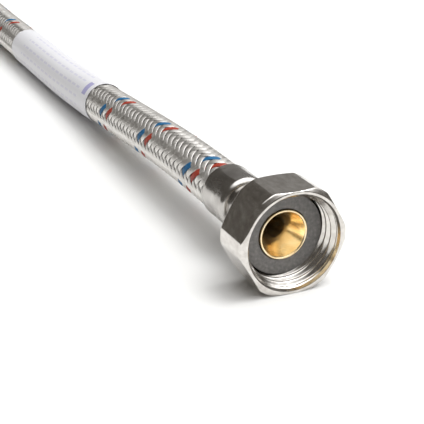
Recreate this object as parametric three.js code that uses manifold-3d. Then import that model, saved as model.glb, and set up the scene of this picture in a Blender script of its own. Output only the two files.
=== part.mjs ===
// Braided supply line: a short flexible water hose with a swivel union nut at each end.
// Frame: +Z up, millimetres. The hose runs along +Y. The origin is on the resting surface,
// under the middle of the near end fitting.
import * as THREE from "three";
import { mergeVertices } from "three/addons/utils/BufferGeometryUtils.js";
import Module from "manifold-3d";

const wasm = await Module();
wasm.setup();

// ---- Driving dimensions (mm) ----
const OVERALL_LENGTH = 400; // between the front faces of the two nuts

const NUT_ACROSS_FLATS = 23;
const NUT_CORNER_RADIUS = 12.4; // the six corners are turned off to this radius
const NUT_HEIGHT = 11;
const NUT_REAR_WALL = 1.6; // the wall that bears on the nipple's collar
const NUT_REAR_BORE_RADIUS = 5.6;
const THREAD_MAJOR_RADIUS = 10.48; // G 1/2 female
const THREAD_MINOR_RADIUS = 9.32;
const THREAD_PITCH = 1.814;
const THREAD_TURNS = 3;
const MOUTH_RADIUS = 10.85; // a plain taper leads in to the thread
const MOUTH_END_RADIUS = 10.6;
const MOUTH_DEPTH = 0.9;

const RIM_FRONT = 4.9; // how far the nipple's rim sits behind the nut's front face
const RIM_RADIUS = 5.55;
const RIM_EDGE_RADIUS = 4.9; // where the funnel starts
const GASKET_FRONT = 5.3;
const GASKET_THICKNESS = 2.7;
const GASKET_RADIUS = 9.2;
const COLLAR_RADIUS = 8.9;
const COLLAR_THICKNESS = 1;
const THROAT_RADIUS = 3;
const THROAT_DEPTH = 10.2;
const NECK_RADIUS = 4.3;

const FERRULE_START = 12.2; // the narrow neck's end, just behind the nut
const FERRULE_NECK_RADIUS = 5.2;
const FERRULE_SHOULDER = 22.4;
const FERRULE_END = 33;
const FERRULE_RADIUS = 6.5;
const FERRULE_BORE_RADIUS = 6.12;

const HOSE_START = 24.6; // the cut end of the hose, inside the ferrule
const BRAID_RADIUS = 5.65;
const BRAID_INNER_RADIUS = 5.4;
const TUBE_OUTER_RADIUS = 5.1;
const TUBE_INNER_RADIUS = 4;
const TAIL_ROOT_RADIUS = 3.5;
const TAIL_BARB_RADIUS = 3.75;
const TAIL_END = 33;

const BRAID_LAY = 30; // one turn of a strand takes this much hose
const STRAND_SPACING = 30; // degrees between neighbouring strands
const TRACER_INNER_RADIUS = 5.85;
const TRACER_OUTER_RADIUS = 6; // the two coloured strands stand proud by this much
const TRACER_WIDTH = 1.6;
const BLUE_PHASE = 274.4; // degrees round the hose, at its near cut end
const RED_PHASE = BLUE_PHASE + 2 * STRAND_SPACING;

const LABEL_FIRST_STEP = 8; // the label covers these steps of the hose
const LABEL_STEPS = 7;
const LABEL_INNER_RADIUS = 6.15;
const LABEL_OUTER_RADIUS = 6.3; // the hose lies on the surface on its label

const GAP = 0.3; // between touching pieces
const TURN_STEPS = 36; // facets round a turned piece
const HOSE_SIDES = 12;
const LABEL_SIDES = 24;
const HOSE_STEPS = 30;
const TRACER_STEPS_PER_TURN = 20;

// ---- Places worked out from them ----
const AXIS_HEIGHT = NUT_ACROSS_FLATS / 2; // the nut rests on one flat
const NEAR_FACE_Y = -FERRULE_END / 2;
const FAR_FACE_Y = NEAR_FACE_Y + OVERALL_LENGTH;
const COLLAR_FRONT = GASKET_FRONT + GASKET_THICKNESS + GAP / 3;
const NUT_SEAT = NUT_HEIGHT - NUT_REAR_WALL;

// ---- Materials ----
const nickel = new THREE.MeshStandardMaterial({ color: 0xb9b5ad, roughness: 0.22, metalness: 1 });
const steel = new THREE.MeshStandardMaterial({ color: 0xa9a6a0, roughness: 0.3, metalness: 1 });
const brass = new THREE.MeshStandardMaterial({ color: 0xd9a55c, roughness: 0.3, metalness: 1 });
const rubber = new THREE.MeshStandardMaterial({ color: 0x5f6065, roughness: 0.75, metalness: 0 });
const wire = new THREE.MeshStandardMaterial({ color: 0xb4b1aa, roughness: 0.35, metalness: 1 });
const epdm = new THREE.MeshStandardMaterial({ color: 0x1b1b1c, roughness: 0.8, metalness: 0 });
const blueYarn = new THREE.MeshStandardMaterial({ color: 0x1f6a9c, roughness: 0.6, metalness: 0 });
const redYarn = new THREE.MeshStandardMaterial({ color: 0xb0412a, roughness: 0.6, metalness: 0 });
const film = new THREE.MeshStandardMaterial({ color: 0xe9e9ec, roughness: 0.5, metalness: 0 });

// ---- Making solids ----
// A ring turned about +Y. Each point is [radius, distance]; the outside goes up, the bore comes back.
function turned(profile) {
  const points = profile.map(([radius, distance]) => new THREE.Vector2(radius, distance));
  points.push(points[0].clone());
  return new THREE.LatheGeometry(points, TURN_STEPS);
}

function toSolid(geometry) {
  const bare = geometry.clone();
  bare.deleteAttribute("normal");
  bare.deleteAttribute("uv");
  const merged = mergeVertices(bare, 1e-4);
  return new wasm.Manifold(
    new wasm.Mesh({
      numProp: 3,
      vertProperties: new Float32Array(merged.attributes.position.array),
      triVerts: new Uint32Array(merged.index.array),
    }),
  );
}

function toGeometry(solid) {
  const mesh = solid.getMesh();
  const geometry = new THREE.BufferGeometry();
  geometry.setAttribute("position", new THREE.BufferAttribute(mesh.vertProperties, 3));
  geometry.setIndex(new THREE.BufferAttribute(mesh.triVerts, 1));
  return geometry.toNonIndexed();
}

// A round tube that follows a path.
function tubeAlong(path, outerRadius, innerRadius, steps, sides = HOSE_SIDES) {
  const ring = new THREE.Shape();
  const bore = new THREE.Path();
  for (let i = 0; i < sides; i++) {
    const angle = (2 * Math.PI * i) / sides;
    const side = [Math.cos(angle), Math.sin(angle)];
    if (i === 0) {
      ring.moveTo(side[0] * outerRadius, side[1] * outerRadius);
      bore.moveTo(side[0] * innerRadius, side[1] * innerRadius);
    } else {
      ring.lineTo(side[0] * outerRadius, side[1] * outerRadius);
      bore.lineTo(side[0] * innerRadius, side[1] * innerRadius);
    }
  }
  ring.closePath();
  bore.closePath();
  ring.holes.push(bore);
  return new THREE.ExtrudeGeometry(ring, { steps, extrudePath: path });
}

// ---- The end fitting, drawn with +Y running back from the nut's front face ----
function threadProfile() {
  // From the mouth inwards: rings at the thread's pitch, crest to root to crest.
  const points = [[MOUTH_RADIUS, 0], [MOUTH_END_RADIUS, MOUTH_DEPTH]];
  const start = MOUTH_DEPTH + MOUTH_END_RADIUS - THREAD_MINOR_RADIUS;
  const flat = THREAD_PITCH / 8;
  for (let turn = 0; turn < THREAD_TURNS; turn++) {
    const y = start + turn * THREAD_PITCH;
    points.push([THREAD_MINOR_RADIUS, y], [THREAD_MINOR_RADIUS, y + flat]);
    const root = y + THREAD_PITCH / 2;
    points.push([THREAD_MAJOR_RADIUS, root], [THREAD_MAJOR_RADIUS, root + flat]);
  }
  points.push([THREAD_MAJOR_RADIUS, NUT_SEAT]);
  return points;
}

function unionNut() {
  const chamfer = 0.6;
  const rearChamfer = 0.9;
  const chamferRadius = NUT_ACROSS_FLATS / 2 - 0.15;
  const turnedBlank = turned([
    [chamferRadius, 0],
    [NUT_CORNER_RADIUS, chamfer],
    [NUT_CORNER_RADIUS, NUT_HEIGHT - rearChamfer],
    [chamferRadius - 0.4, NUT_HEIGHT],
    [NUT_REAR_BORE_RADIUS, NUT_HEIGHT],
    [NUT_REAR_BORE_RADIUS, NUT_SEAT],
    ...threadProfile().reverse(),
  ]);
  const hexagon = new THREE.CylinderGeometry(
    NUT_ACROSS_FLATS / Math.sqrt(3),
    NUT_ACROSS_FLATS / Math.sqrt(3),
    NUT_HEIGHT + 2,
    6,
  );
  hexagon.rotateY(Math.PI / 6);
  hexagon.translate(0, NUT_HEIGHT / 2, 0);
  return toGeometry(toSolid(turnedBlank).intersect(toSolid(hexagon)));
}

function gasket() {
  const bore = RIM_RADIUS + GAP / 2;
  const back = GASKET_FRONT + GASKET_THICKNESS;
  return turned([
    [GASKET_RADIUS, GASKET_FRONT],
    [GASKET_RADIUS, back],
    [bore, back],
    [bore, GASKET_FRONT],
  ]);
}

function nipple() {
  // The barbed tail: each barb rises to a crest and drops back.
  const barbs = [];
  const firstBarb = HOSE_START + 1;
  const barbPitch = 2.2;
  for (let y = firstBarb; y + barbPitch < TAIL_END - 0.5; y += barbPitch) {
    barbs.push([TAIL_BARB_RADIUS, y], [TAIL_ROOT_RADIUS, y + barbPitch * 0.9]);
  }
  return turned([
    [RIM_RADIUS, RIM_FRONT],
    [RIM_RADIUS, COLLAR_FRONT],
    [COLLAR_RADIUS, COLLAR_FRONT],
    [COLLAR_RADIUS, COLLAR_FRONT + COLLAR_THICKNESS],
    [NECK_RADIUS, COLLAR_FRONT + COLLAR_THICKNESS],
    [NECK_RADIUS, FERRULE_SHOULDER],
    [TAIL_ROOT_RADIUS, FERRULE_SHOULDER + 0.8],
    [TAIL_ROOT_RADIUS, HOSE_START],
    ...barbs,
    [TAIL_ROOT_RADIUS - 0.2, TAIL_END],
    [THROAT_RADIUS, TAIL_END],
    [THROAT_RADIUS, THROAT_DEPTH],
    [RIM_EDGE_RADIUS, RIM_FRONT + 0.3],
    [RIM_EDGE_RADIUS + 0.2, RIM_FRONT],
  ]);
}

function ferrule() {
  const neckBore = NECK_RADIUS + 0.25;
  const wall = FERRULE_RADIUS - FERRULE_BORE_RADIUS;
  // The shoulder is a quarter round between the neck and the wide crimped sleeve.
  const shoulder = [];
  const rise = FERRULE_RADIUS - FERRULE_NECK_RADIUS;
  for (let i = 0; i <= 4; i++) {
    const angle = (Math.PI / 2) * (i / 4);
    shoulder.push([
      FERRULE_NECK_RADIUS + rise * Math.sin(angle),
      FERRULE_SHOULDER + rise * (1 - Math.cos(angle)),
    ]);
  }
  return turned([
    [FERRULE_NECK_RADIUS - 0.2, FERRULE_START],
    [FERRULE_NECK_RADIUS, FERRULE_START + 0.2],
    ...shoulder,
    [FERRULE_RADIUS, FERRULE_END - 0.2],
    [FERRULE_RADIUS - wall / 2, FERRULE_END],
    [FERRULE_BORE_RADIUS, FERRULE_END],
    [FERRULE_BORE_RADIUS, FERRULE_SHOULDER + rise + 0.3],
    [neckBore + 0.4, FERRULE_SHOULDER + 0.5],
    [neckBore, FERRULE_SHOULDER - 0.3],
    [neckBore, FERRULE_START],
  ]);
}

// ---- The hose's route, as [y, z]: straight out of each fitting, then down to lie on its label ----
const HOSE_ROUTE = [
  [8.1, 11.5], [16.5, 11.5], [28.5, 11.5], [40.5, 11.35], [52.5, 10.93], [64.5, 10.31],
  [76.5, 9.6], [88.5, 8.9], [100.5, 8.13], [112.5, 7.42], [124.5, 6.84], [136.5, 6.44],
  [148.5, 6.3], [166, 6.3], [183.5, 6.3], [201, 6.3], [218.5, 6.3],
  [230.5, 6.44], [242.5, 6.84], [254.5, 7.42], [266.5, 8.13], [278.5, 8.9], [290.5, 9.6],
  [302.5, 10.31], [314.5, 10.93], [326.5, 11.35], [338.5, 11.5], [350.5, 11.5], [358.9, 11.5],
];
const hosePath = new THREE.CatmullRomCurve3(
  HOSE_ROUTE.map(([y, z]) => new THREE.Vector3(0, y, z)),
);

// The stretch of the route that begins at a step of the hose and covers a number of its steps.
function stretchOfRoute(firstStep, steps) {
  const points = [];
  for (let i = 0; i <= steps; i++) {
    points.push(hosePath.getPointAt((firstStep + i) / HOSE_STEPS));
  }
  return new THREE.CatmullRomCurve3(points);
}

// ---- A coloured strand of the braid: a flat strip that winds round the hose ----
function tracerStrand(phase) {
  const total = hosePath.getLength();
  const steps = Math.round((total / BRAID_LAY) * TRACER_STEPS_PER_TURN);
  const slant = Math.atan2(2 * Math.PI * TRACER_OUTER_RADIUS, BRAID_LAY);
  const half = TRACER_WIDTH / 2;
  const across = new THREE.Vector3(1, 0, 0);
  const corners = [
    [-half, TRACER_INNER_RADIUS],
    [half, TRACER_INNER_RADIUS],
    [half, TRACER_OUTER_RADIUS],
    [-half, TRACER_OUTER_RADIUS],
  ];
  const positions = [];
  for (let i = 0; i <= steps; i++) {
    const middle = (total * i) / steps;
    for (const [side, radius] of corners) {
      const along = THREE.MathUtils.clamp(middle - Math.sin(slant) * side, 0, total);
      const turn = (2 * Math.PI * middle) / BRAID_LAY + (Math.cos(slant) * side) / radius;
      const angle = THREE.MathUtils.degToRad(phase) + turn;
      const tangent = hosePath.getTangentAt(along / total);
      const up = across.clone().cross(tangent).normalize();
      const sideways = tangent.clone().cross(up);
      const point = hosePath.getPointAt(along / total);
      point.addScaledVector(sideways, radius * Math.cos(angle));
      point.addScaledVector(up, radius * Math.sin(angle));
      positions.push(point.x, point.y, point.z);
    }
  }
  const faces = [];
  const quad = (a, b, c, d) => faces.push(a, b, c, a, c, d);
  for (let i = 0; i < steps; i++) {
    for (let k = 0; k < 4; k++) {
      const next = (k + 1) % 4;
      quad(4 * i + k, 4 * i + next, 4 * i + 4 + next, 4 * i + 4 + k);
    }
  }
  quad(3, 2, 1, 0);
  quad(4 * steps, 4 * steps + 1, 4 * steps + 2, 4 * steps + 3);
  const geometry = new THREE.BufferGeometry();
  geometry.setAttribute("position", new THREE.Float32BufferAttribute(positions, 3));
  geometry.setIndex(faces);
  return geometry;
}

// ---- Assembly ----
const supplyLine = new THREE.Group();

function addPiece(parent, name, geometry, material) {
  const mesh = new THREE.Mesh(geometry, material);
  mesh.name = name;
  parent.add(mesh);
}

for (const end of ["near", "far"]) {
  const fitting = new THREE.Group();
  const near = end === "near";
  fitting.position.set(0, near ? NEAR_FACE_Y : FAR_FACE_Y, AXIS_HEIGHT);
  fitting.rotation.z = near ? 0 : Math.PI;
  addPiece(fitting, end + "_union_nut", unionNut(), nickel);
  addPiece(fitting, end + "_gasket", gasket(), rubber);
  addPiece(fitting, end + "_nipple", nipple(), brass);
  addPiece(fitting, end + "_ferrule", ferrule(), steel);
  supplyLine.add(fitting);
}

const innerTube = tubeAlong(hosePath, TUBE_OUTER_RADIUS, TUBE_INNER_RADIUS, HOSE_STEPS);
addPiece(supplyLine, "inner_tube", innerTube, epdm);
const braid = tubeAlong(hosePath, BRAID_RADIUS, BRAID_INNER_RADIUS, HOSE_STEPS);
addPiece(supplyLine, "wire_braid", braid, wire);
addPiece(supplyLine, "blue_tracer", tracerStrand(BLUE_PHASE), blueYarn);
addPiece(supplyLine, "red_tracer", tracerStrand(RED_PHASE), redYarn);
const labelPath = stretchOfRoute(LABEL_FIRST_STEP, LABEL_STEPS);
const label = tubeAlong(
  labelPath,
  LABEL_OUTER_RADIUS,
  LABEL_INNER_RADIUS,
  LABEL_STEPS,
  LABEL_SIDES,
);
addPiece(supplyLine, "label_wrap", label, film);

export default supplyLine;
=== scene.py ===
# Braided supply line: a short flexible water hose with a swivel union nut at each end.
# Sizes of turned and wound pieces are in millimetres; places come from the frame, in metres.
import bisect
import math

import bmesh
import bpy
from mathutils import Matrix, Vector, noise
from mathutils.geometry import interpolate_bezier


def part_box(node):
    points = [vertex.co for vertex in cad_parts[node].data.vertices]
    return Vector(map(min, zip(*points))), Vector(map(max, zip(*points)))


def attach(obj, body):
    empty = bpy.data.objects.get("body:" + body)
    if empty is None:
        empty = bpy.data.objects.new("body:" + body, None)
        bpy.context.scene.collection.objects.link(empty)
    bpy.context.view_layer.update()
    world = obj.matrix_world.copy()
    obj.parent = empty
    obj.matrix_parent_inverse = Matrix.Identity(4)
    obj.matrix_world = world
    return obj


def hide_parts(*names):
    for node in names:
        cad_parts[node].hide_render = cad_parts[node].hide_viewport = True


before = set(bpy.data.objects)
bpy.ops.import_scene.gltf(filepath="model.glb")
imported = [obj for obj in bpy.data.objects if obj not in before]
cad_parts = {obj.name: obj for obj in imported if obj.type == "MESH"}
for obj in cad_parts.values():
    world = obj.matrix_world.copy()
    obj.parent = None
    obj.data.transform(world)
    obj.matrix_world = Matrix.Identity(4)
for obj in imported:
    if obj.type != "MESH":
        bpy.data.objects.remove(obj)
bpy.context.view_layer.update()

# ---- Camera ----
# It stands in front of the near end and to its left, and looks down on it with a long lens.
CAMERA_AZIMUTH = math.radians(-24.35)
CAMERA_ELEVATION = math.radians(22.67)
CAMERA_LENS = 96.24
CAMERA_FROM_NUT = Vector((-0.1036, -0.1873, 0.0962))

near_low, near_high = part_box("near_union_nut")
axis_height = (near_low.z + near_high.z) / 2
near_face = Vector((0, near_low.y, axis_height))
far_face = Vector((0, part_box("far_union_nut")[1].y, axis_height))

camera = bpy.data.objects.new("camera", bpy.data.cameras.new("camera"))
camera.data.lens = CAMERA_LENS
camera.data.sensor_width = 36
camera.data.clip_start = 0.01
camera.location = near_face + CAMERA_FROM_NUT
backwards = Vector((
    math.sin(CAMERA_AZIMUTH) * math.cos(CAMERA_ELEVATION),
    -math.cos(CAMERA_AZIMUTH) * math.cos(CAMERA_ELEVATION),
    math.sin(CAMERA_ELEVATION),
))
camera.rotation_euler = (-backwards).to_track_quat("-Z", "Y").to_euler()
bpy.context.scene.collection.objects.link(camera)
bpy.context.scene.camera = camera

# ---- The hose's route ----
# The hose leaves the near fitting straight, comes down to lie on its label, and rises again
# to the far fitting. These are the points its middle passes through, as (y, z) in metres.
MM = 0.001
HOSE_ROUTE = [
    (0.0081, 0.0115), (0.0165, 0.0115), (0.0285, 0.0115), (0.0405, 0.01135), (0.0525, 0.01093),
    (0.0645, 0.01031), (0.0765, 0.0096), (0.0885, 0.0089), (0.1005, 0.00813), (0.1125, 0.00742),
    (0.1245, 0.00684), (0.1365, 0.00644), (0.1485, 0.0063), (0.166, 0.0063), (0.1835, 0.0063),
    (0.201, 0.0063), (0.2185, 0.0063), (0.2305, 0.00644), (0.2425, 0.00684), (0.2545, 0.00742),
    (0.2665, 0.00813), (0.2785, 0.0089), (0.2905, 0.0096), (0.3025, 0.01031), (0.3145, 0.01093),
    (0.3265, 0.01135), (0.3385, 0.0115), (0.3505, 0.0115), (0.3589, 0.0115),
]
ROUTE_STEPS = 12  # places worked out between two points of the route


def smooth_line(points):
    """Close points on one smooth line that passes through the given ones."""
    line = []
    for i in range(len(points) - 1):
        before, start, end = points[max(i - 1, 0)], points[i], points[i + 1]
        after = points[min(i + 2, len(points) - 1)]
        leaving, arriving = start + (end - before) / 6, end - (after - start) / 6
        line += interpolate_bezier(start, leaving, arriving, end, ROUTE_STEPS + 1)[:-1]
    return line + [points[-1]]


hose_line = smooth_line([Vector((0, y, z)) for y, z in HOSE_ROUTE])
hose_distances = [0.0]
for start, end in zip(hose_line, hose_line[1:]):
    hose_distances.append(hose_distances[-1] + (end - start).length)
HOSE_LENGTH = hose_distances[-1] / MM


def on_hose(radius, angle, distance):
    """The point at that radius and angle round the hose, so many millimetres along it."""
    wanted = min(max(distance * MM, 0), hose_distances[-1])
    i = min(max(bisect.bisect(hose_distances, wanted) - 1, 0), len(hose_line) - 2)
    share = (wanted - hose_distances[i]) / (hose_distances[i + 1] - hose_distances[i])
    ahead = (hose_line[i + 1] - hose_line[i]).normalized()
    up = Vector((1, 0, 0)).cross(ahead).normalized()
    out = math.cos(angle) * ahead.cross(up) + math.sin(angle) * up
    return hose_line[i].lerp(hose_line[i + 1], share) + radius * MM * out


# ---- Water tube ----
# The black rubber tube inside the braid carries the water. It is extruded, cut square, and
# pushed over the barbed tail of a nipple at each end.
TUBE_OUTER, TUBE_INNER = 5.1, 4.0
TUBE_STEPS, TUBE_SIDES = 180, 32
SHARP_ANGLE = math.radians(38)


def turned(name, section, sides, place):
    """A ring with its outline given at each angle as (radius, distance), and put where place says.
    The UV map holds the angle as a share of a turn, and the distance in millimetres."""
    outlines = [section(2 * math.pi * i / sides) for i in range(sides)]
    count = len(outlines[0])
    points, faces, unwrapped = [], [], []
    for i, outline in enumerate(outlines):
        points += [place(radius, 2 * math.pi * i / sides, distance) for radius, distance in outline]
        after = (i + 1) % sides
        for j in range(count):
            k = (j + 1) % count
            faces.append((i * count + j, i * count + k, after * count + k, after * count + j))
            here, there = outline[j][1], outline[k][1]
            for share, distance in ((i, here), (i, there), (i + 1, there), (i + 1, here)):
                unwrapped += [share / sides, distance]
    mesh = bpy.data.meshes.new(name)
    mesh.from_pydata(points, [], faces)
    mesh.uv_layers.new(name="UVMap").data.foreach_set("uv", unwrapped)
    return finished(name, mesh)


def finished(name, mesh):
    """An object with this mesh, closed, facing outwards and smooth except at sharp edges."""
    work = bmesh.new()
    work.from_mesh(mesh)
    bmesh.ops.holes_fill(work, edges=[e for e in work.edges if e.is_boundary], sides=0)
    bmesh.ops.recalc_face_normals(work, faces=work.faces)
    work.to_mesh(mesh)
    work.free()
    mesh.shade_smooth()
    mesh.set_sharp_from_angle(angle=SHARP_ANGLE)
    piece = bpy.data.objects.new(name, mesh)
    bpy.context.scene.collection.objects.link(piece)
    return piece


def evenly(start, end, steps):
    """Numbers from start to end, both included."""
    return [start + (end - start) * i / steps for i in range(steps + 1)]


def new_material(name, sockets):
    """A material whose shader has these values on its own sockets. Gives it and the shader."""
    made = bpy.data.materials.new(name)
    made.use_nodes = True
    shader = made.node_tree.nodes["Principled BSDF"]
    for socket, value in sockets.items():
        shader.inputs[socket].default_value = value
    return made, shader


def grain(shader, scale, detail, stretch=(1, 1, 1)):
    """Noise over the piece, as a socket from 0 to 1. The scale is in cells per metre."""
    tree = shader.id_data
    place = tree.nodes.new("ShaderNodeTexCoord")
    mapping = tree.nodes.new("ShaderNodeMapping")
    texture = tree.nodes.new("ShaderNodeTexNoise")
    mapping.inputs["Scale"].default_value = stretch
    texture.inputs["Scale"].default_value = scale
    texture.inputs["Detail"].default_value = detail
    tree.links.new(place.outputs["Object"], mapping.inputs["Vector"])
    tree.links.new(mapping.outputs["Vector"], texture.inputs["Vector"])
    return texture.outputs["Fac"]


def ramp_to(shader, socket, amount, stops):
    """Sets a colour socket from an amount, through stops of (place, colour)."""
    tree = shader.id_data
    ramp = tree.nodes.new("ShaderNodeValToRGB")
    while len(ramp.color_ramp.elements) < len(stops):
        ramp.color_ramp.elements.new(1.0)
    for element, (place, colour) in zip(ramp.color_ramp.elements, stops):
        element.position = place
        element.color = (*colour, 1)
    tree.links.new(amount, ramp.inputs["Fac"])
    tree.links.new(ramp.outputs["Color"], shader.inputs[socket])


def range_to(shader, socket, amount, low, high):
    """Sets a number socket from an amount, from low at 0.3 to high at 0.7, where noise lies."""
    tree = shader.id_data
    scaled = tree.nodes.new("ShaderNodeMapRange")
    for name, value in (("From Min", 0.3), ("From Max", 0.7), ("To Min", low), ("To Max", high)):
        scaled.inputs[name].default_value = value
    tree.links.new(amount, scaled.inputs["Value"])
    tree.links.new(scaled.outputs["Result"], shader.inputs[socket])


def bump_to(shader, height, depth):
    """Adds relief to the shader's normal, of a depth in millimetres, over any already there."""
    tree = shader.id_data
    bump = tree.nodes.new("ShaderNodeBump")
    bump.inputs["Distance"].default_value = depth * MM
    already = shader.inputs["Normal"].links
    if already:
        tree.links.new(already[0].from_socket, bump.inputs["Normal"])
    tree.links.new(height, bump.inputs["Height"])
    tree.links.new(bump.outputs["Normal"], shader.inputs["Normal"])


def fit(piece, material, body, slot, *nodes):
    """Gives the piece its material and its body, and hides the CAD nodes it stands for. The slot is not
    used.
    """
    piece.data.materials.clear()
    piece.data.materials.append(material)
    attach(piece, body)
    if nodes:
        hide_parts(*nodes)
    return piece


def black_rubber():
    made, shader = new_material("black_rubber", {"Base Color": (0.02, 0.02, 0.021, 1)})
    range_to(shader, "Roughness", grain(shader, 700, 3), 0.62, 0.85)
    bump_to(shader, grain(shader, 2400, 4), 0.02)
    return made


def tube_section(angle):
    outer = [(TUBE_OUTER, distance) for distance in evenly(0, HOSE_LENGTH, TUBE_STEPS)]
    inner = [(TUBE_INNER, distance) for distance in evenly(HOSE_LENGTH, 0, TUBE_STEPS)]
    return outer + inner


water_tube = turned("water_tube", tube_section, TUBE_SIDES, on_hose)
fit(water_tube, black_rubber(), "root", "tube_rubber", "inner_tube")

# ---- Wire braid ----
# Twenty-four carriers, twelve each way round, lay flat strands of fine stainless wires over
# the tube. Each strand passes over two of the other hand and under two. It is braided tight
# and held by the crimped ferrules at its ends.
BRAID_SIZES = {
    "Lay": 30.0 * MM,
    "Middle Radius": 5.64 * MM,
    "Swing": 0.2 * MM,  # how far a strand rises over and dips under
    "Crown": 0.1 * MM,
    "Wire Rise": 0.06 * MM,
    "Strand Width": 1.7 * MM,
}
STRANDS_PER_HAND = 12
WIRES = 5
STRAND_STEPS = 600
RIGHT_PHASE = math.radians(4.4)
LEFT_PHASE = math.radians(56.6)
BLUE_STRAND, RED_STRAND = 9, 11


class Term:
    """A value in a node tree that is worked with as a number is."""

    def __init__(self, socket):
        self.socket = socket

    def math(self, operation, *others):
        node = self.socket.id_data.nodes.new("ShaderNodeMath")
        node.operation = operation
        for place, value in enumerate((self, *others)):
            if isinstance(value, Term):
                self.socket.id_data.links.new(value.socket, node.inputs[place])
            else:
                node.inputs[place].default_value = value
        return Term(node.outputs[0])

    def __add__(self, other):
        return self.math("ADD", other)

    def __sub__(self, other):
        return self.math("SUBTRACT", other)

    def __mul__(self, other):
        return self.math("MULTIPLY", other)

    def __truediv__(self, other):
        return self.math("DIVIDE", other)


def braid_tree():
    """Winds flat strands of wires round the line that the modifier is on."""
    tree = bpy.data.node_groups.new("braid_strands", "GeometryNodeTree")
    ports = tree.interface
    ports.new_socket("Geometry", in_out="INPUT", socket_type="NodeSocketGeometry")
    ports.new_socket("Geometry", in_out="OUTPUT", socket_type="NodeSocketGeometry")
    for name in ("Strands", "First Strand", "Missing Strand", "Steps", "Wires"):
        ports.new_socket(name, in_out="INPUT", socket_type="NodeSocketInt")
    for name in ("Hand", "Own Phase", "Other Phase", "Strand Spacing", *BRAID_SIZES):
        ports.new_socket(name, in_out="INPUT", socket_type="NodeSocketFloat")
    ports.new_socket("Material", in_out="INPUT", socket_type="NodeSocketMaterial")
    given = tree.nodes.new("NodeGroupInput").outputs

    def node(kind, links=(), **settings):
        made = tree.nodes.new(kind)
        for setting, value in settings.items():
            setattr(made, setting, value)
        for socket, value in dict(links).items():
            tree.links.new(value.socket if isinstance(value, Term) else value, made.inputs[socket])
        return made

    def term(name):
        return Term(given[name])

    # A sheet of points for each strand: along it, and out over its wires and back beneath.
    line = node("GeometryNodeMeshToCurve", {"Mesh": given["Geometry"]}).outputs["Curve"]
    length = Term(node("GeometryNodeCurveLength", {"Curve": line}).outputs["Length"])
    across_count = term("Wires") * 2 + 1
    sheet = node(
        "GeometryNodeMeshGrid",
        {"Vertices X": term("Steps"), "Vertices Y": across_count + 1},
    )
    sheet.inputs["Size X"].default_value = sheet.inputs["Size Y"].default_value = 1
    one = node("GeometryNodeGeometryToInstance", {"Geometry": sheet.outputs["Mesh"]})
    copies = node(
        "GeometryNodeDuplicateElements",
        {"Geometry": one.outputs[0], "Amount": given["Strands"]},
        domain="INSTANCE",
    )
    numbered = node(
        "GeometryNodeStoreNamedAttribute",
        {"Geometry": copies.outputs["Geometry"], "Value": copies.outputs["Duplicate Index"]},
        domain="INSTANCE", data_type="INT",
    )
    numbered.inputs["Name"].default_value = "strand"
    sheets = node("GeometryNodeRealizeInstances", {"Geometry": numbered.outputs[0]})

    # Where a point of the sheet is on its strand.
    number = node("GeometryNodeInputNamedAttribute", data_type="INT")
    number.inputs["Name"].default_value = "strand"
    copy = Term(number.outputs["Attribute"])
    passed = copy.math("GREATER_THAN", term("Missing Strand") - term("First Strand") - 0.5)
    strand = copy + term("First Strand") + passed
    flat = node("ShaderNodeSeparateXYZ", {0: node("GeometryNodeInputPosition").outputs[0]})
    along = (Term(flat.outputs["X"]) + 0.5) * length
    column = ((Term(flat.outputs["Y"]) + 0.5) * across_count).math("ROUND")
    column = column.math("MODULO", across_count)
    side = column / term("Wires") - 1
    on_wire = column.math("MODULO", 2)
    offset = side * term("Strand Width") / 2

    # How far along and round the hose that is.
    hand, spacing = term("Hand"), term("Strand Spacing")
    turning = hand * (2 * math.pi) / term("Lay")
    slant = (term("Middle Radius") * (2 * math.pi)).math("ARCTAN2", term("Lay"))
    down = along - hand * slant.math("SINE") * offset
    down = down.math("MAXIMUM", 0).math("MINIMUM", length)
    angle = strand * spacing + term("Own Phase") + turning * along
    angle = angle + slant.math("COSINE") * offset / term("Middle Radius")

    # Over two strands of the other hand, and under two.
    crossing = (angle - term("Other Phase") + turning * down) / spacing
    wave = ((strand + crossing - 0.5) * (math.pi / 2)).math("COSINE") * hand
    wave = wave * (wave * wave * -0.5 + 1.5)
    radius = term("Middle Radius") + wave * term("Swing") + on_wire * term("Wire Rise")
    radius = radius + (side * side * -1 + 1) * term("Crown")

    # Its place on the curved hose.
    sample = node("GeometryNodeSampleCurve", {"Curves": line, "Length": down}, mode="LENGTH")
    level = node("ShaderNodeCombineXYZ")
    level.inputs["X"].default_value = 1
    ahead = sample.outputs["Tangent"]
    raised = node("ShaderNodeVectorMath", {0: level.outputs[0], 1: ahead}, operation="CROSS_PRODUCT")
    up = node("ShaderNodeVectorMath", {0: raised.outputs[0]}, operation="NORMALIZE")
    sideways = node("ShaderNodeVectorMath", {0: ahead, 1: up.outputs[0]}, operation="CROSS_PRODUCT")
    parts = []
    for way, part in ((sideways, angle.math("COSINE")), (up, angle.math("SINE"))):
        links = {0: way.outputs[0], "Scale": part * radius}
        parts.append(node("ShaderNodeVectorMath", links, operation="SCALE").outputs[0])
    out = node("ShaderNodeVectorMath", {0: parts[0], 1: parts[1]}, operation="ADD")
    place = node("ShaderNodeVectorMath", {0: sample.outputs["Position"], 1: out.outputs[0]})
    wound = node(
        "GeometryNodeSetPosition",
        {"Geometry": sheets.outputs[0], "Position": place.outputs[0]},
    )
    closed = node("GeometryNodeMergeByDistance", {"Geometry": wound.outputs[0]})
    closed.inputs["Distance"].default_value = 1e-6
    real = node("GeometryNodeRealizeInstances", {"Geometry": closed.outputs[0]})
    painted = node(
        "GeometryNodeSetMaterial",
        {"Geometry": real.outputs[0], "Material": given["Material"]},
    )
    node("NodeGroupOutput", {"Geometry": painted.outputs[0]})
    return tree


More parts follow.
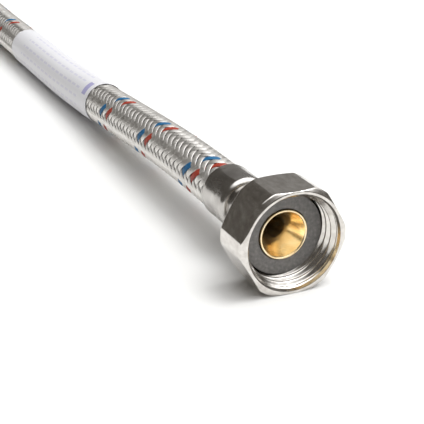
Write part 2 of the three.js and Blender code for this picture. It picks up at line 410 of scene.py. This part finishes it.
route_mesh = bpy.data.meshes.new("route")
route_edges = [(i, i + 1) for i in range(len(hose_line) - 1)]
route_mesh.from_pydata(hose_line, route_edges, [])
strand_tree = braid_tree()


def wound_strands(name, material, hand, strands, first=0, missing=STRANDS_PER_HAND):
    """The strands of one hand, from the first on and without the missing one."""
    route = bpy.data.objects.new(name + "_route", route_mesh)
    bpy.context.scene.collection.objects.link(route)
    winding = route.modifiers.new("winding", "NODES")
    winding.node_group = strand_tree
    right = hand > 0
    values = {
        "Strands": strands,
        "First Strand": first,
        "Missing Strand": missing,
        "Steps": STRAND_STEPS + 1,
        "Wires": WIRES,
        "Hand": hand,
        "Own Phase": RIGHT_PHASE if right else LEFT_PHASE,
        "Other Phase": LEFT_PHASE if right else RIGHT_PHASE,
        "Strand Spacing": 2 * math.pi / STRANDS_PER_HAND,
        "Material": material,
        **BRAID_SIZES,
    }
    for port in strand_tree.interface.items_tree:
        if port.in_out == "INPUT" and port.name in values:
            winding[port.identifier] = values[port.name]
    evaluated = route.evaluated_get(bpy.context.evaluated_depsgraph_get())
    piece = finished(name, bpy.data.meshes.new_from_object(evaluated))
    bpy.data.objects.remove(route)
    return piece


def steel_wire():
    made, shader = new_material("steel_wire", {"Metallic": 1.0})
    tint = ((0.0, (0.58, 0.56, 0.53)), (0.55, (0.8, 0.78, 0.75)), (1.0, (0.93, 0.91, 0.88)))
    ramp_to(shader, "Base Color", grain(shader, 520, 3), tint)
    range_to(shader, "Roughness", grain(shader, 900, 2), 0.38, 0.54)
    bump_to(shader, grain(shader, 6000, 2), 0.004)
    return made


bright_wire = steel_wire()
steel_right = STRANDS_PER_HAND - 2
braid_right = wound_strands("braid_right_hand", bright_wire, 1.0, steel_right, 0, BLUE_STRAND)
braid_left = wound_strands("braid_left_hand", bright_wire, -1.0, STRANDS_PER_HAND)
fit(braid_right, bright_wire, "root", "braid_wire", "wire_braid")
fit(braid_left, bright_wire, "root", "braid_wire")

# ---- Coloured strands ----
# Two of the right-hand strands are dyed nylon yarn, one blue and one red. They are braided in
# with the wires, pass over and under as they do, and mark the hose for hot and cold water.
BLUE_SHADES = ((0.008, 0.09, 0.22), (0.02, 0.16, 0.34))
RED_SHADES = ((0.28, 0.028, 0.014), (0.44, 0.06, 0.03))


def dyed_yarn(name, dark, light):
    made, shader = new_material(name, {"Specular IOR Level": 0.45})
    ramp_to(shader, "Base Color", grain(shader, 1600, 4), ((0.3, dark), (0.7, light)))
    range_to(shader, "Roughness", grain(shader, 2500, 2), 0.42, 0.62)
    bump_to(shader, grain(shader, 5000, 2), 0.01)
    return made


blue_yarn = dyed_yarn("blue_yarn", *BLUE_SHADES)
red_yarn = dyed_yarn("red_yarn", *RED_SHADES)
blue_strand = wound_strands("blue_strand", blue_yarn, 1.0, 1, BLUE_STRAND)
red_strand = wound_strands("red_strand", red_yarn, 1.0, 1, RED_STRAND)
fit(blue_strand, blue_yarn, "root", "blue_yarn", "blue_tracer")
fit(red_strand, red_yarn, "root", "red_yarn", "red_tracer")

# ---- Label ----
# A printed white film is wrapped once round the hose and stuck down on its own end. It is
# thin, follows the braid in slight wrinkles, and here carries plain bars and no lettering.
LABEL_FROM, LABEL_TO = HOSE_LENGTH * 8 / 30, HOSE_LENGTH * 15 / 30
LABEL_INNER, LABEL_OUTER = 6.14, 6.2
LABEL_STEPS, LABEL_SIDES = 150, 96
LABEL_LAP_RISE = 0.06
LABEL_LAP_ANGLE = math.radians(215)
LAP_STEP, LAP_FADE = 0.008, 0.12  # shares of a turn in which the lap rises and falls away
LABEL_WRINKLE = 0.035
# Where the print is, in millimetres along the film or in shares of a turn round it.
BAR_ALONG, BAR_ROUND = (2.5, 5.5), (0.3, 0.42)
ROWS_ALONG, ROWS_ROUND, ROWS_PER_TURN, ROW_SHARE = (9, 70), (0.1, 0.9), 14, (0.35, 0.6)
DASH_PITCH, DASH_SHARE = 4.3, 0.7
BAR_INK, ROW_INK = 0.7, 0.22


def label_section(angle):
    lap = ((angle - LABEL_LAP_ANGLE) / (2 * math.pi)) % 1
    if lap > LAP_STEP:
        rise = LABEL_LAP_RISE * max(0, 1 - lap / LAP_FADE)
    else:
        rise = LABEL_LAP_RISE * lap / LAP_STEP
    outer = []
    for distance in evenly(LABEL_FROM, LABEL_TO, LABEL_STEPS):
        spot = Vector((math.cos(angle) * 1.6, math.sin(angle) * 1.6, distance * 0.35))
        wrinkle = LABEL_WRINKLE * (0.5 + 0.5 * noise.noise(spot))
        outer.append((LABEL_OUTER + rise + wrinkle - LABEL_WRINKLE, distance))
    return outer + [(LABEL_INNER, distance) for distance in evenly(LABEL_TO, LABEL_FROM, LABEL_STEPS // 3)]


def printed_film():
    made, shader = new_material("printed_film", {"Coat Weight": 0.3, "Coat Roughness": 0.25})
    tree = made.node_tree
    unwrapped = tree.nodes.new("ShaderNodeTexCoord")
    apart = tree.nodes.new("ShaderNodeSeparateXYZ")
    tree.links.new(unwrapped.outputs["UV"], apart.inputs[0])
    round_share, distance = Term(apart.outputs["X"]), Term(apart.outputs["Y"])
    distance = distance - LABEL_FROM

    def within(value, low, high):
        return value.math("GREATER_THAN", low) * value.math("LESS_THAN", high)

    # One plain bar near the end, and faint rows of short bars along the film.
    bar = within(distance, *BAR_ALONG) * within(round_share, *BAR_ROUND)
    dashes = (distance / DASH_PITCH).math("FRACT").math("LESS_THAN", DASH_SHARE)
    dashes = dashes * within(distance, *ROWS_ALONG)
    rows = within((round_share * ROWS_PER_TURN).math("FRACT"), *ROW_SHARE)
    rows = rows * within(round_share, *ROWS_ROUND)
    ink = bar * BAR_INK + dashes * rows * ROW_INK
    shades = ((0.0, (0.8, 0.8, 0.83)), (1.0, (0.25, 0.23, 0.55)))
    ramp_to(shader, "Base Color", ink.socket, shades)
    range_to(shader, "Roughness", grain(shader, 300, 2), 0.38, 0.55)
    bump_to(shader, grain(shader, 500, 3), 0.03)
    return made


printed_label = turned("printed_label", label_section, LABEL_SIDES, on_hose)
fit(printed_label, printed_film(), "root", "label_film", "label_wrap")

# ---- Nipples ----
# Each is turned from brass bar: a bright rim that stands through the gasket, a funnel into
# the waterway, a collar that holds the nut, a plain neck, and a barbed tail in the hose.
RIM_FRONT, RIM_RADIUS, COLLAR_FRONT, COLLAR_RADIUS = 4.9, 5.55, 8.1, 8.9
NECK_RADIUS, TAIL_FROM, TAIL_END, TAIL_ROOT, TAIL_BARB = 4.3, 22.4, 33.0, 3.5, 3.75
BARB_STARTS, BARB_LENGTH = (25.6, 27.8, 30.0), 1.98
FUNNEL_RADIUS, FUNNEL_LIP, THROAT_RADIUS, THROAT_DEPTH = 5.05, 5.2, 2.8, 10.2
NIPPLE_EDGE = 0.16
CORNER_STEPS = 4
HALF_TURN = (
    Matrix.Translation((near_face + far_face) / 2)
    @ Matrix.Rotation(math.pi, 4, "Z")
    @ Matrix.Translation(-(near_face + far_face) / 2)
)


def on_fitting(radius, angle, distance):
    """A point of the near fitting: the distance runs back from the nut's front face."""
    return near_face + MM * Vector((radius * math.cos(angle), distance, radius * math.sin(angle)))


def both_ends(kind, section, sides, material, slot, node, nut=False):
    """The same piece at the near end and, turned half round, at the far end."""
    made = []
    for end in ("near", "far"):
        piece = turned(end + "_" + kind, section, sides, on_fitting)
        if end == "far":
            piece.data.transform(HALF_TURN)
        fit(piece, material, end + "_nut" if nut else "root", slot, end + "_" + node)
        made.append(piece)
    return made


def rounded(outline, radius):
    """The closed outline with each corner rounded, and a point to hold the flats flat."""
    corners = [Vector(point) for point in outline]
    made = []
    for i, corner in enumerate(corners):
        before, after = corners[i - 1] - corner, corners[(i + 1) % len(corners)] - corner
        reach = min(radius, before.length * 0.4, after.length * 0.4)
        start, end = corner + before.normalized() * reach, corner + after.normalized() * reach
        made.append(tuple(start + before.normalized() * reach * 0.2))
        for step in range(CORNER_STEPS + 1):
            t = step / CORNER_STEPS
            made.append(tuple(start * (1 - t) ** 2 + corner * 2 * t * (1 - t) + end * t * t))
        made.append(tuple(end + after.normalized() * reach * 0.2))
    return made


def nipple_section(angle):
    barbs = []
    for start in BARB_STARTS:
        barbs += [(TAIL_BARB, start), (TAIL_ROOT, start + BARB_LENGTH)]
    return rounded([
        (RIM_RADIUS, RIM_FRONT),
        (RIM_RADIUS, COLLAR_FRONT),
        (COLLAR_RADIUS, COLLAR_FRONT),
        (COLLAR_RADIUS, COLLAR_FRONT + 1),
        (NECK_RADIUS, COLLAR_FRONT + 1),
        (NECK_RADIUS, TAIL_FROM),
        (TAIL_ROOT, TAIL_FROM + 0.8),
        (TAIL_ROOT, TAIL_FROM + 2.2),
        *barbs,
        (TAIL_ROOT - 0.2, TAIL_END),
        (THROAT_RADIUS, TAIL_END),
        (THROAT_RADIUS, THROAT_DEPTH),
        (FUNNEL_RADIUS, RIM_FRONT + 0.2),
        (FUNNEL_LIP, RIM_FRONT),
    ], NIPPLE_EDGE)


def lathe_rings(shader, spacing):
    """Uneven rings round the fitting's axis, as a lathe tool leaves, as a socket from 0 to 1."""
    tree = shader.id_data
    place = tree.nodes.new("ShaderNodeTexCoord")
    apart = tree.nodes.new("ShaderNodeSeparateXYZ")
    tree.links.new(place.outputs["Object"], apart.inputs[0])
    x, y, z = (Term(apart.outputs[i]) for i in range(3))
    z = z - axis_height
    radius = (x * x + z * z).math("SQRT")
    texture = tree.nodes.new("ShaderNodeTexNoise")
    texture.noise_dimensions = "1D"
    texture.inputs["Scale"].default_value = 1 / (spacing * MM)
    texture.inputs["Detail"].default_value = 2
    tree.links.new((radius + y * 0.8).socket, texture.inputs["W"])
    return texture.outputs["Fac"]


def turned_brass():
    made, shader = new_material("turned_brass", {"Metallic": 0.94})
    tint = ((0.3, (0.9, 0.67, 0.37)), (0.5, (0.99, 0.81, 0.51)), (0.7, (1.0, 0.89, 0.65)))
    ramp_to(shader, "Base Color", grain(shader, 350, 4), tint)
    range_to(shader, "Roughness", lathe_rings(shader, 0.5), 0.12, 0.24)
    bump_to(shader, lathe_rings(shader, 0.5), 0.006)
    bump_to(shader, grain(shader, 900, 4), 0.02)
    return made


brass_nipples = both_ends("brass_nipple", nipple_section, 96, turned_brass(), "brass", "nipple")

# ---- Gaskets ----
# A flat ring of dark grey rubber is stamped from sheet and lies round the nipple's rim, on
# its collar. Handling leaves it dusty and slightly worn.
GASKET_INNER, GASKET_OUTER, GASKET_FRONT, GASKET_BACK = 5.7, 9.2, 5.3, 8.0
GASKET_EDGE = 0.25


def gasket_section(angle):
    return rounded([
        (GASKET_OUTER, GASKET_FRONT),
        (GASKET_OUTER, GASKET_BACK),
        (GASKET_INNER, GASKET_BACK),
        (GASKET_INNER, GASKET_FRONT),
    ], GASKET_EDGE)


def grey_rubber():
    made, shader = new_material("grey_rubber", {"Specular IOR Level": 0.35})
    tint = ((0.3, (0.17, 0.164, 0.16)), (0.62, (0.24, 0.23, 0.22)), (0.75, (0.31, 0.3, 0.285)))
    ramp_to(shader, "Base Color", grain(shader, 1500, 6), tint)
    range_to(shader, "Roughness", grain(shader, 800, 3), 0.5, 0.75)
    bump_to(shader, grain(shader, 3500, 4), 0.03)
    return made


gaskets = both_ends(
    "rubber_washer", gasket_section, 96, grey_rubber(), "gasket_rubber", "gasket"
)

# ---- Ferrules ----
# Each is drawn from thin stainless sheet: a narrow neck, a round shoulder, and a wide sleeve
# that eight jaws crimp onto the braid over the barbed tail.
FERRULE_FROM, SHOULDER_FROM, FERRULE_TO = 12.2, 22.4, 33.0
FERRULE_NECK, FERRULE_RADIUS, FERRULE_BORE = 5.2, 6.5, 6.12
CRIMPS, CRIMP_DEPTH, CRIMP_FROM, CRIMP_TO = 8, 0.07, 25.4, 31.6
CRIMP_FADE_IN, CRIMP_FADE_OUT = 1.2, 0.8
FERRULE_PHASE = math.radians(12)
NECK_WALL = 0.65


def ferrule_section(angle):
    rise = FERRULE_RADIUS - FERRULE_NECK
    outline = [(FERRULE_NECK - 0.12, FERRULE_FROM), (FERRULE_NECK, FERRULE_FROM + 0.12)]
    outline += [(FERRULE_NECK, distance) for distance in evenly(13, SHOULDER_FROM, 8)]
    for turn in evenly(0, math.pi / 2, 10)[1:]:
        distance = SHOULDER_FROM + rise * (1 - math.cos(turn))
        outline.append((FERRULE_NECK + rise * math.sin(turn), distance))
    # A crimp is a shallow hollow that fades out at its ends and sides.
    flat = 0.5 + 0.5 * math.cos((angle - FERRULE_PHASE) * CRIMPS)
    for distance in evenly(SHOULDER_FROM + rise + 0.3, FERRULE_TO - 0.35, 44):
        start = min(max((distance - CRIMP_FROM) / CRIMP_FADE_IN, 0), 1)
        end = min(max((CRIMP_TO - distance) / CRIMP_FADE_OUT, 0), 1)
        pressed = start * start * (3 - 2 * start) * end * end * (3 - 2 * end)
        outline.append((FERRULE_RADIUS - CRIMP_DEPTH * flat * pressed, distance))
    outline += [(FERRULE_RADIUS - 0.06, FERRULE_TO - 0.1), (FERRULE_RADIUS - 0.18, FERRULE_TO)]
    outline += [(FERRULE_BORE + 0.08, FERRULE_TO), (FERRULE_BORE, FERRULE_TO - 0.1)]
    outline += [(FERRULE_BORE, distance) for distance in evenly(32, SHOULDER_FROM + 1.6, 8)]
    return outline + [
        (FERRULE_NECK - 0.25, SHOULDER_FROM + 0.5),
        (FERRULE_NECK - NECK_WALL, SHOULDER_FROM - 0.3),
        (FERRULE_NECK - NECK_WALL, FERRULE_FROM + 0.05),
        (FERRULE_NECK - 0.6, FERRULE_FROM),
    ]


def drawn_steel():
    made, shader = new_material("drawn_steel", {"Metallic": 1.0})
    tint = ((0.3, (0.42, 0.4, 0.38)), (0.7, (0.6, 0.58, 0.555)))
    ramp_to(shader, "Base Color", grain(shader, 260, 4), tint)
    range_to(shader, "Roughness", grain(shader, 500, 3, (1, 0.15, 1)), 0.14, 0.3)
    bump_to(shader, grain(shader, 2500, 2, (1, 0.06, 1)), 0.006)
    bump_to(shader, grain(shader, 260, 2), 0.05)
    return made


ferrules = both_ends(
    "crimped_ferrule", ferrule_section, 160, drawn_steel(), "ferrule_steel", "ferrule"
)

# ---- Union nuts ----
# Each is forged brass with nickel plate: a hexagon with its corners turned off, a bore with a
# right-hand pipe thread, and a rear wall that turns freely on the nipple's collar.
NUT_HEIGHT, NUT_APOTHEM, NUT_CORNER = 11.0, 11.5, 12.4
FRONT_CHAMFER, REAR_CHAMFER, CHAMFER_FRONT_RADIUS, CHAMFER_REAR_RADIUS = 0.6, 0.9, 11.35, 10.95
EDGE_ROUND = 0.045
THREAD_ROWS = 140  # points along the bore, close enough to draw the thread's flanks smooth
THREAD_MAJOR, THREAD_MINOR, THREAD_PITCH, FIRST_CREST = 10.48, 9.6, 2.1, 2.06
MOUTH_RADIUS, MOUTH_END_RADIUS, MOUTH_DEPTH = 10.85, 10.6, 0.9
THREAD_END, THREAD_RUN_OUT, NUT_SEAT, REAR_BORE = 7.6, 0.5, 9.4, 5.6
CREST_SHARE, FLANK_SHARE = 0.12, 0.76  # of half a turn of thread


def softest(first, second):
    """The smaller of two radii, with the edge between them rounded."""
    return -EDGE_ROUND * math.log(math.exp(-first / EDGE_ROUND) + math.exp(-second / EDGE_ROUND))


def nut_outside(angle, distance):
    from_flat = (angle - math.radians(30) + math.pi / 6) % (math.pi / 3) - math.pi / 6
    hexagon = NUT_APOTHEM / math.cos(from_flat)
    front = distance * (NUT_CORNER - CHAMFER_FRONT_RADIUS) / FRONT_CHAMFER
    rear = (NUT_HEIGHT - distance) * (NUT_CORNER - CHAMFER_REAR_RADIUS) / REAR_CHAMFER
    cone = min(CHAMFER_FRONT_RADIUS + front, CHAMFER_REAR_RADIUS + rear)
    return softest(softest(hexagon, cone), NUT_CORNER)


def nut_inside(angle, distance):
    """The thread rises right-handed: its crest comes nearer the face as the angle grows."""
    turns = (distance - FIRST_CREST) / THREAD_PITCH + angle / (2 * math.pi)
    from_crest = abs((turns + 0.5) % 1 - 0.5) * 2
    flank = min(max((from_crest - CREST_SHARE) / FLANK_SHARE, 0), 1)
    depth = THREAD_MAJOR - THREAD_MINOR
    thread = THREAD_MINOR + depth * flank * flank * (3 - 2 * flank)
    taper = MOUTH_RADIUS - (MOUTH_RADIUS - MOUTH_END_RADIUS) * distance / MOUTH_DEPTH
    lead_in = MOUTH_END_RADIUS - (distance - MOUTH_DEPTH)
    run_out = min(max((distance - THREAD_END) / THREAD_RUN_OUT, 0), 1)
    return max(thread, min(taper, lead_in), THREAD_MINOR + depth * run_out)


def nut_section(angle):
    """Its outside, rear wall, seat and thread. Points on the flat faces keep them flat."""
    rows = evenly(0.03, 1.2, 13) + evenly(1.6, 9.4, 14) + evenly(9.7, 10.97, 13)
    outline = [(nut_outside(angle, distance), distance) for distance in rows]
    outline += [(CHAMFER_REAR_RADIUS - 0.15, NUT_HEIGHT)]
    outline += [(radius, NUT_HEIGHT) for radius in (10.5, 8.0, 6.2, 5.85)]
    outline += [(REAR_BORE, NUT_HEIGHT - 0.25), (REAR_BORE, NUT_SEAT + 0.12)]
    outline += [(REAR_BORE + 0.12, NUT_SEAT), (6.0, NUT_SEAT), (10.0, NUT_SEAT)]
    outline += [(10.36, NUT_SEAT), (THREAD_MAJOR, NUT_SEAT - 0.12)]
    inner = evenly(9.0, 8.2, 3) + evenly(8.1, 0.1, THREAD_ROWS) + [0.04]
    outline += [(nut_inside(angle, distance), distance) for distance in inner]
    return outline + [(MOUTH_RADIUS + 0.05, 0.0), (11.1, 0.0), (11.26, 0.0)]


def nickel_plate():
    made, shader = new_material("nickel_plate", {"Metallic": 1.0})
    tint = ((0.3, (0.58, 0.55, 0.515)), (0.7, (0.78, 0.755, 0.72)))
    ramp_to(shader, "Base Color", grain(shader, 900, 6, (1, 0.5, 1)), tint)
    range_to(shader, "Roughness", grain(shader, 420, 4), 0.12, 0.24)
    bump_to(shader, grain(shader, 4000, 3), 0.003)
    bump_to(shader, grain(shader, 170, 2), 0.05)
    return made


nickel_nuts = both_ends(
    "nickel_nut", nut_section, 360, nickel_plate(), "nickel", "union_nut", nut=True
)

# ---- Floor and light ----
# A pale studio floor. One bright dome hangs overhead, a little to the right and the front, and
# the room round it is dark, so that polished metal shows both. A softbox overhead on the right
# throws the soft shadow to the left, and a dim one low behind lifts the tops of the nuts.
FLOOR_SIDE = 12.0
FLOOR_COLOUR = (0.86, 0.86, 0.85, 1)
DOME_LEAN = Vector((0.3, -0.2, 0.93)).normalized()
DOME_STRENGTH = 2.1
# The room's and the dome's colours, and where each starts, as a cosine from the dome's middle.
ROOM_TO_DOME = ((0.62, (0.05, 0.046, 0.041, 1)), (0.82, (1.0, 1.0, 1.0, 1)))
SOFTBOXES = {  # place, side and power
    "key": (Vector((0.3, -0.12, 0.85)), 0.45, 3.6),
    "back": (Vector((0.4, 0.8, 0.4)), 0.7, 0.25),
}

floor_mesh = bpy.data.meshes.new("floor")
half = FLOOR_SIDE / 2
corners = [(-half, -half, 0), (half, -half, 0), (half, half, 0), (-half, half, 0)]
floor_mesh.from_pydata(corners, [], [(0, 1, 2, 3)])
floor = bpy.data.objects.new("floor", floor_mesh)
bpy.context.scene.collection.objects.link(floor)
floor_paint, _ = new_material("floor_paint", {"Base Color": FLOOR_COLOUR, "Roughness": 0.9})
floor_mesh.materials.append(floor_paint)

for name, (place, side, power) in SOFTBOXES.items():
    lamp = bpy.data.objects.new(name, bpy.data.lights.new(name, "AREA"))
    lamp.data.size = side
    lamp.data.energy = power
    lamp.location = place
    lamp.rotation_euler = (near_face - place).to_track_quat("-Z", "Y").to_euler()
    bpy.context.scene.collection.objects.link(lamp)

world = bpy.data.worlds.new("studio")
world.use_nodes = True
bpy.context.scene.world = world
sky = world.node_tree
background = sky.nodes["Background"]
direction = sky.nodes.new("ShaderNodeTexCoord")
height = sky.nodes.new("ShaderNodeVectorMath")
height.operation = "DOT_PRODUCT"
height.inputs[1].default_value = DOME_LEAN
dome = sky.nodes.new("ShaderNodeValToRGB")
for stop, (place, colour) in zip(dome.color_ramp.elements, ROOM_TO_DOME):
    stop.position = place
    stop.color = colour
background.inputs["Strength"].default_value = DOME_STRENGTH
sky.links.new(direction.outputs["Generated"], height.inputs[0])
sky.links.new(height.outputs["Value"], dome.inputs["Fac"])
sky.links.new(dome.outputs["Color"], background.inputs["Color"])
bpy.context.scene.view_settings.view_transform = "Standard"
